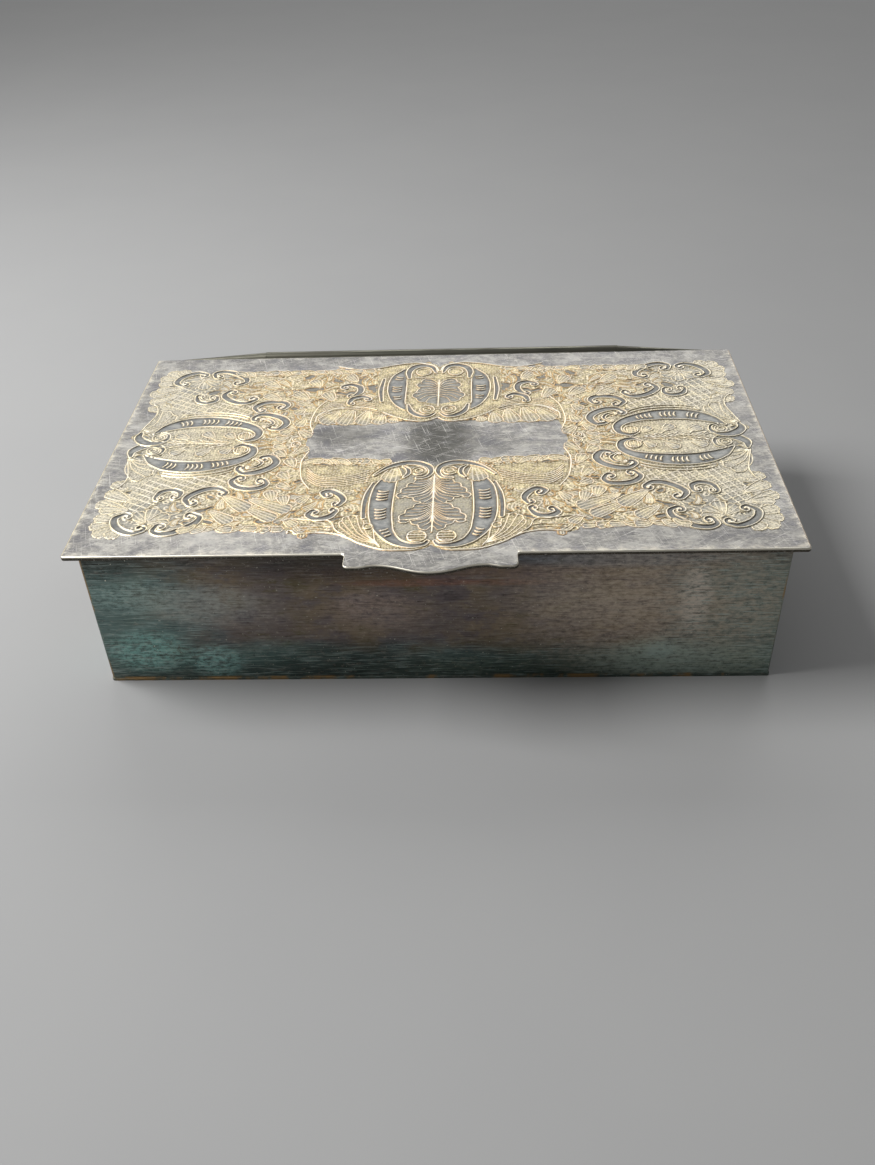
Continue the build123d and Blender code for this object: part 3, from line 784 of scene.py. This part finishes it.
def frill(start, end, count, seed, outward):
    """Small uneven leaves that lie along the field's edge between two places, tips towards +v or -v."""
    draw = np.random.default_rng(seed)
    for k in range(count):
        t = (k + draw.uniform(-0.3, 0.3)) / (count - 1)
        at = np.array(start) * (1 - t) + np.array(end) * t
        lean = (1 if draw.random() < 0.6 else -1) * draw.uniform(0.8, 1.6)
        foot = at - (1.6 * lean, outward * draw.uniform(1.2, 2.6))
        bend = at - (0.2 * lean, outward * draw.uniform(0.2, 0.6))
        tip = at + (2.2 * lean, outward * draw.uniform(-0.7, 0.5))
        plume([foot, bend, tip], draw.uniform(0.8, 1.5), int(draw.integers(2, 4)),
              dark=float(draw.random() < 0.5))


frill((38.5, 10.4), (60, 10.6), 9, 5, -1)

# Front cartouche
blank([(0, 3.6), (1.7, 2.2), (4.6, 1.1), (9.9, 1.1), (12.8, 2), (17.4, 4.3), (23.5, 8.6), (24, 12.5), (21.4, 16.6),
       (17.8, 17), (18, 22), (16.4, 29.5), (17.2, 34), (13.8, 38.6), (9, 41), (4, 41.2), (0, 38.6), (-4, 41),
       (-4, 1.1)])
arch = [(34, 9.4), (33.2, 8.4), (31, 8.5), (27.4, 8.9), (23.1, 8.1), (20.3, 6.6), (17.4, 4.3), (12.8, 2),
        (9.9, 1.3), (4.6, 1.3), (1.7, 2.4), (0, 4)]
bead(curled(arch, (0.9, -200)), 0.36)
for step in (1.2, 2.4):
    bead([(33, 8.7 + step), (27.4, 9.1 + step), (24.6, 8.6 + step)], 0.25)
bead([(37.6, 14), (34.2, 14.9), (30.6, 14.2), (26, 13.9), (24.6, 12.4), (23.6, 9.9), (20.7, 7.2)], 0.3)
fan((12.4, 3.4), [(22.6, 11.2), (22.4, 13.6), (21, 15.4), (19, 15.8), (17.2, 14.4)], bow=-0.1)
band([(15.6, 30.4), (16.9, 25), (17.3, 20), (17.1, 15)], (0.5, 0.7, 0.7, 0.6))
well = polygon_mask(smooth([(0, 5), (8, 6), (11.4, 14), (11.6, 24), (11, 32), (9, 38), (0, 38), (0, 5)]))
silver[:] = np.maximum(silver, 0.65 * well)
band([(11.6, 32.4), (12.8, 27.6), (13.2, 21), (12.9, 15), (11.6, 9.4), (8.8, 5), (5.2, 3.1), (2, 3.3), (0.9, 4.6)],
     (2, 2.8, 3, 3, 2.9, 2.6, 1.9, 1.3, 0.9, 0.5), bars=((0.21, 4), (0.43, 4), (0.65, 3)))
bead([(16.6, 12.4), (14.9, 12), (14.2, 8.8), (13.6, 5.4), (12.2, 2.6)], 0.3)
volute((15.8, 11.2), 1.1, rings=1)
plume([(10.4, 38.4), (11.6, 31)], 2.7, 4, dark=0.8)
acanthus([(0.2, 33.6), (0.2, 20.6)],
         [(2.8, 32), (5.2, 30.2), (7.2, 27.4), (8.5, 24.4), (6.2, 24.8), (3.8, 22.8), (1.2, 20)], 12, 7)
acanthus([(0.2, 21.6), (0.2, 9.8)],
         [(2.6, 20.8), (4.8, 18.8), (6.6, 16.4), (7.8, 13.4), (5.6, 13.8), (3.4, 12), (1.2, 9.6)], 11, 6)
bead([(0, 35.6), (0, 22), (0, 8.4)], 0.34)
volute((3.6, 6.8), 2.3, rings=1, stripes=1.05)
band([(15.8, 34.4), (12.6, 38), (8.6, 39.9), (4.8, 40.1), (1.7, 38.4), (0.9, 35.6), (2.2, 33.2), (4.6, 32.7)],
     (0.3, 0.5, 0.8, 1, 1, 0.8, 0.5, 0.4))
bead([(17.8, 31), (16.4, 35.6), (12.9, 39.4), (8.4, 41.3)], 0.34, pearls=0.9)
volute((4.1, 36.2), 1.9)
band([(8.4, 38.6), (7.1, 37.2), (6.9, 35), (8, 33.2)], (0.3, 0.6, 0.6, 0.3))

# The leaf bands along the blank panel, front and back
frill((14, 41.6), (32.6, 42.4), 11, 12, 1)
plumes(list, 4, 0.75, (28.4, 68.8, 32.2, 61.6, 2.8), (24.4, 69.4, 26.8, 61, 2.6), (19.8, 68.6, 21.4, 60.8, 2.5),
       (15.8, 66.6, 16.8, 61, 2.1), (12, 64.6, 12.8, 61.8, 1.5))
bead([(34.6, 62.8), (34.2, 66.6), (31, 69.6), (26.4, 71), (21.7, 71), (17.6, 69.4), (13.4, 66), (9, 63.5),
             (4.9, 62.4), (2.1, 63), (0, 64.6)], 0.36)

# Back cartouche
blank([(0, 95.6), (2, 97.8), (6.7, 98.6), (10.3, 98.2), (15, 96.8), (18, 94), (18.2, 72), (14.4, 67.2),
       (8.6, 63.8), (4.9, 62.7), (2.1, 63.2), (0, 64.8), (-4, 62.8), (-4, 98)])
band([(16.6, 88), (17.1, 81), (16.5, 74.4)], (0.5, 0.7, 0.5))
band([(10.2, 93), (12, 88.6), (12.4, 83), (12.1, 77.6), (11, 72.6), (8.6, 69)],
     (1.3, 2.3, 2.8, 2.8, 2.4, 1.5, 0.7), bars=((0.2, 2), (0.47, 3), (0.68, 2)))
band([(9, 88.4), (9.2, 92.4), (7.8, 95.4), (4.8, 96.5), (2.2, 95.2), (1.1, 91.8)], (0.5, 0.9, 1.1, 1.1, 0.8, 0.4))
volute((4.8, 92.2), 2.2, rings=1)
bead([(1.8, 88.4), (4.4, 88.7), (7.2, 88.4)], 0.32)
acanthus([(0.3, 84.4), (0.3, 72.4)], [(2.2, 87.2), (4.4, 86.4), (5.6, 84), (5.2, 80.8), (6.6, 78.6), (6.2, 76),
    (3.6, 73.6)], 9, 5, bow=-0.16)
bead([(0, 87), (0, 79), (0, 70.6)], 0.36)
band([(8.6, 71.8), (7.6, 68), (5.2, 65.6), (2.6, 65.2), (0.8, 67)], (0.4, 0.8, 0.9, 0.7, 0.4))
volute((3.1, 69), 2.1)
bead([(31, 97), (28.5, 96), (25.3, 95), (21, 95), (17.4, 95.8), (13.9, 97.1), (10.3, 98), (6.7, 98.3),
             (3.1, 97.3), (1, 95.3), (0.2, 92.6)], 0.36)
scroll([(28.2, 84.2), (26, 84.8), (23.6, 83.4), (23.2, 80.4), (24.8, 77.6)], 2, (1, 1))
scroll([(20.4, 76.6), (22.2, 77.4), (25, 76.2), (26, 73.8)], 1.8, (0.9, 0.9))
frill((22, 94), (60, 93.6), 20, 8, 1)
plumes(list, 4, 0.7, (24.6, 86.6, 27.6, 91, 1.8), (35.4, 84, 38, 88.6, 2), (30.4, 75, 33.4, 80.6, 2),
       (47.6, 84, 52.4, 88.4, 1.9), (38, 76, 42.4, 81, 2), (46, 76, 51.4, 80, 1.9))

# Matted ground: punched dots wherever nothing else is raised
pitch = 0.75
columns = (grid_u / pitch).astype(int)
rows = (grid_v / pitch).astype(int)
jitter = np.random.default_rng(3).uniform(0.2, 0.8, (2, rows.max() + 1, columns.max() + 1))
dot_u = (columns[None, :] + jitter[0][rows][:, columns]) * pitch - grid_u[None, :]
dot_v = (rows[:, None] + jitter[1][rows][:, columns]) * pitch - grid_v[:, None]
free = ground * (1 - np.clip(gold + vein + silver, 0, 1))
dots = ridge(np.hypot(dot_u, dot_v), 0.26) * free
vein[:] = np.maximum(vein, 0.8 * dots)
height[:] = np.maximum(height, 0.07 * dots)

# The relief is cut into six closed slabs that sink into the plate, so that each mesh stays light
SINK = 0.3  # mm that a slab reaches down into the plate
PROUD = 0.015  # mm that its lowest ground stands above the plate
BURIED = 0.05  # mm that it lies under the plate where the plate is plain
# Painted shade: the plate is darkened where the relief lies below its blurred neighbourhood, and at the marked leaf
# tips.
level = height.copy()
for reach in (1, 2, 2):
    for axis in (0, 1):
        level = (np.roll(level, reach, axis) + level + np.roll(level, -reach, axis)) / 3
hollow_shade = np.maximum(np.clip((level - height) / 0.045, 0, 1), pit_shade)
relief_layers = [np.hstack([layer[:, :0:-1], layer]) for layer in (height, gold, silver, ground, vein, hollow_shade)]
whole_x = np.concatenate([-grid_u[:0:-1], grid_u])


def slab(name, rows, columns):
    """A closed slab: its top is the height field over a block of the grid, its sides drop straight to a flat base.
    The top's normals come from the whole field's slope, so that neighbours meet without a seam."""
    field, raised, ribbon, matted, finest, sunk = [layer[rows, columns] for layer in relief_layers]
    x, y = np.meshgrid(whole_x[columns] * MM, LID_FRONT + grid_v[rows] * MM)
    n_rows, n_columns = field.shape
    top = np.dstack([x, y, LID_TOP + (np.where(matted > 0.5, PROUD, -BURIED) + field) * MM]).reshape(-1, 3)
    index = np.arange(n_rows * n_columns).reshape(n_rows, n_columns)
    ring = np.concatenate([index[0, :-1], index[:-1, -1], index[-1, :0:-1], index[:0:-1, 0]])
    base = top[ring] * (1, 1, 0) + (0, 0, LID_TOP - SINK * MM)
    low = len(top) + np.arange(len(ring))
    quads = np.stack([index[:-1, :-1], index[:-1, 1:], index[1:, 1:], index[1:, :-1]], axis=-1).reshape(-1, 4)
    skirt = np.column_stack([np.roll(ring, -1), ring, low, np.roll(low, -1)])
    corners = np.concatenate([quads.ravel(), skirt.ravel(), low[::-1]])
    sizes = np.concatenate([np.full(len(quads) + len(skirt), 4), [len(low)]])
    mesh = bpy.data.meshes.new(name)
    mesh.vertices.add(len(top) + len(base))
    mesh.vertices.foreach_set("co", np.vstack([top, base]).ravel())
    mesh.loops.add(len(corners))
    mesh.loops.foreach_set("vertex_index", corners)
    mesh.polygons.add(len(sizes))
    mesh.polygons.foreach_set("loop_start", np.concatenate([[0], np.cumsum(sizes)[:-1]]))
    mesh.polygons.foreach_set("use_smooth", np.arange(len(sizes)) < len(quads))
    mesh.update(calc_edges=True)
    colour = mesh.attributes.new("relief", "FLOAT_COLOR", "POINT")
    values = np.zeros((len(top) + len(base), 4), np.float32)
    values[: len(top)] = np.dstack([raised, ribbon, matted, np.ones_like(raised)]).reshape(-1, 4)
    colour.data.foreach_set("color", values.ravel())
    for layer_name, layer in (("vein", finest), ("hollow_shade", sunk)):
        values = np.append(layer.ravel(), np.zeros(len(base))).astype(np.float32)
        mesh.attributes.new(layer_name, "FLOAT", "POINT").data.foreach_set("value", values)
    slope_v, slope_u = (part[rows, columns] for part in slopes)
    normal = np.dstack([-slope_u, -slope_v, np.ones_like(slope_u)]).reshape(-1, 3)
    normal /= np.linalg.norm(normal, axis=1, keepdims=True)
    loop_normals = np.zeros((len(corners), 3), np.float32)
    loop_normals[: quads.size] = normal[quads.ravel()]
    mesh.normals_split_custom_set(loop_normals)
    mesh.materials.append(lid_metal)
    slab_object = bpy.data.objects.new(name, mesh)
    bpy.context.scene.collection.objects.link(slab_object)
    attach(slab_object, "lid")


slopes = np.gradient(relief_layers[0], STEP)
row_cuts = (0, ROWS // 2, ROWS - 1)
column_cuts = (0, len(whole_x) // 3, 2 * len(whole_x) // 3, len(whole_x) - 1)
for r, depth_name in enumerate(("front", "back")):
    for c, side_name in enumerate(("left", "middle", "right")):
        slab(f"lid_relief_{depth_name}_{side_name}", np.s_[row_cuts[r] : row_cuts[r + 1] + 1],
             np.s_[column_cuts[c] : column_cuts[c + 1] + 1])

# ---- Setting ----
# A pale grey floor, a soft lamp near the left end, a broad bright panel far behind for the lid to mirror, a weak
# fill all round, and the camera.
floor_mesh = bpy.data.meshes.new("floor")
reach = 3.0
floor_corners = [(-reach, -reach, 0), (reach, -reach, 0), (reach, reach, 0), (-reach, reach, 0)]
floor_mesh.from_pydata(floor_corners, [], [(0, 1, 2, 3)])
floor = bpy.data.objects.new("floor", floor_mesh)
bpy.context.scene.collection.objects.link(floor)
floor_material, floor_shader = start_material("matt_grey_paper")
paper = tint(floor_material, grain(floor_material, 60, 4), "b0b0b0", "b5b5b4")
set_input(floor_material, floor_shader, Base_Color=paper, Roughness=0.85)
floor_mesh.materials.append(floor_material)


def soft_light(name, place, aim, size, power):
    """A rectangular area light at a place in metres, turned towards a point."""
    lamp = bpy.data.lights.new(name, "AREA")
    lamp.shape = "RECTANGLE"
    lamp.size, lamp.size_y = size
    lamp.energy = power
    light = bpy.data.objects.new(name, lamp)
    light.location = place
    light.rotation_euler = (Vector(aim) - Vector(place)).to_track_quat("-Z", "Y").to_euler()
    bpy.context.scene.collection.objects.link(light)


soft_light("key", (-0.44, 0.02, 0.55), (-0.08, 0, 0), (0.34, 0.34), 4.3)
soft_light("back panel", (0.2, 6.0, 4.1), (0, 0, 0), (7.2, 3.4), 172)
world = bpy.data.worlds.new("studio")
bpy.context.scene.world = world
world.use_nodes = True
world.node_tree.nodes["Background"].inputs["Color"].default_value = linear("c8c9ca")
world.node_tree.nodes["Background"].inputs["Strength"].default_value = 0.20

LID_LENGTH = LID_HIGH.x - LID_LOW.x
camera_data = bpy.data.cameras.new("camera")
camera_data.sensor_fit = "VERTICAL"
camera_data.sensor_height = 36.0
camera_data.lens = 33.218
camera_data.clip_start = 0.01
camera = bpy.data.objects.new("camera", camera_data)
bpy.context.scene.collection.objects.link(camera)
# It stands at a place counted in lid lengths from the middle of the lid's front edge, and is turned by three angles
# in radians: to the left, down from the horizontal, and round its own axis.
CAMERA_PLACE = Vector((0.06663, -1.14494, 0.84696))
PAN, DIP, ROLL = 0.0516, 0.6637, -0.043
turned = Matrix.Rotation(PAN, 4, "Z") @ Matrix.Rotation(np.pi / 2 - DIP, 4, "X") @ Matrix.Rotation(ROLL, 4, "Z")
stand = CAMERA_PLACE * LID_LENGTH + Vector((0, LID_FRONT, LID_TOP))
camera.matrix_world = Matrix.Translation(stand) @ turned
bpy.context.scene.camera = camera
bpy.context.scene.view_settings.view_transform = "Standard"
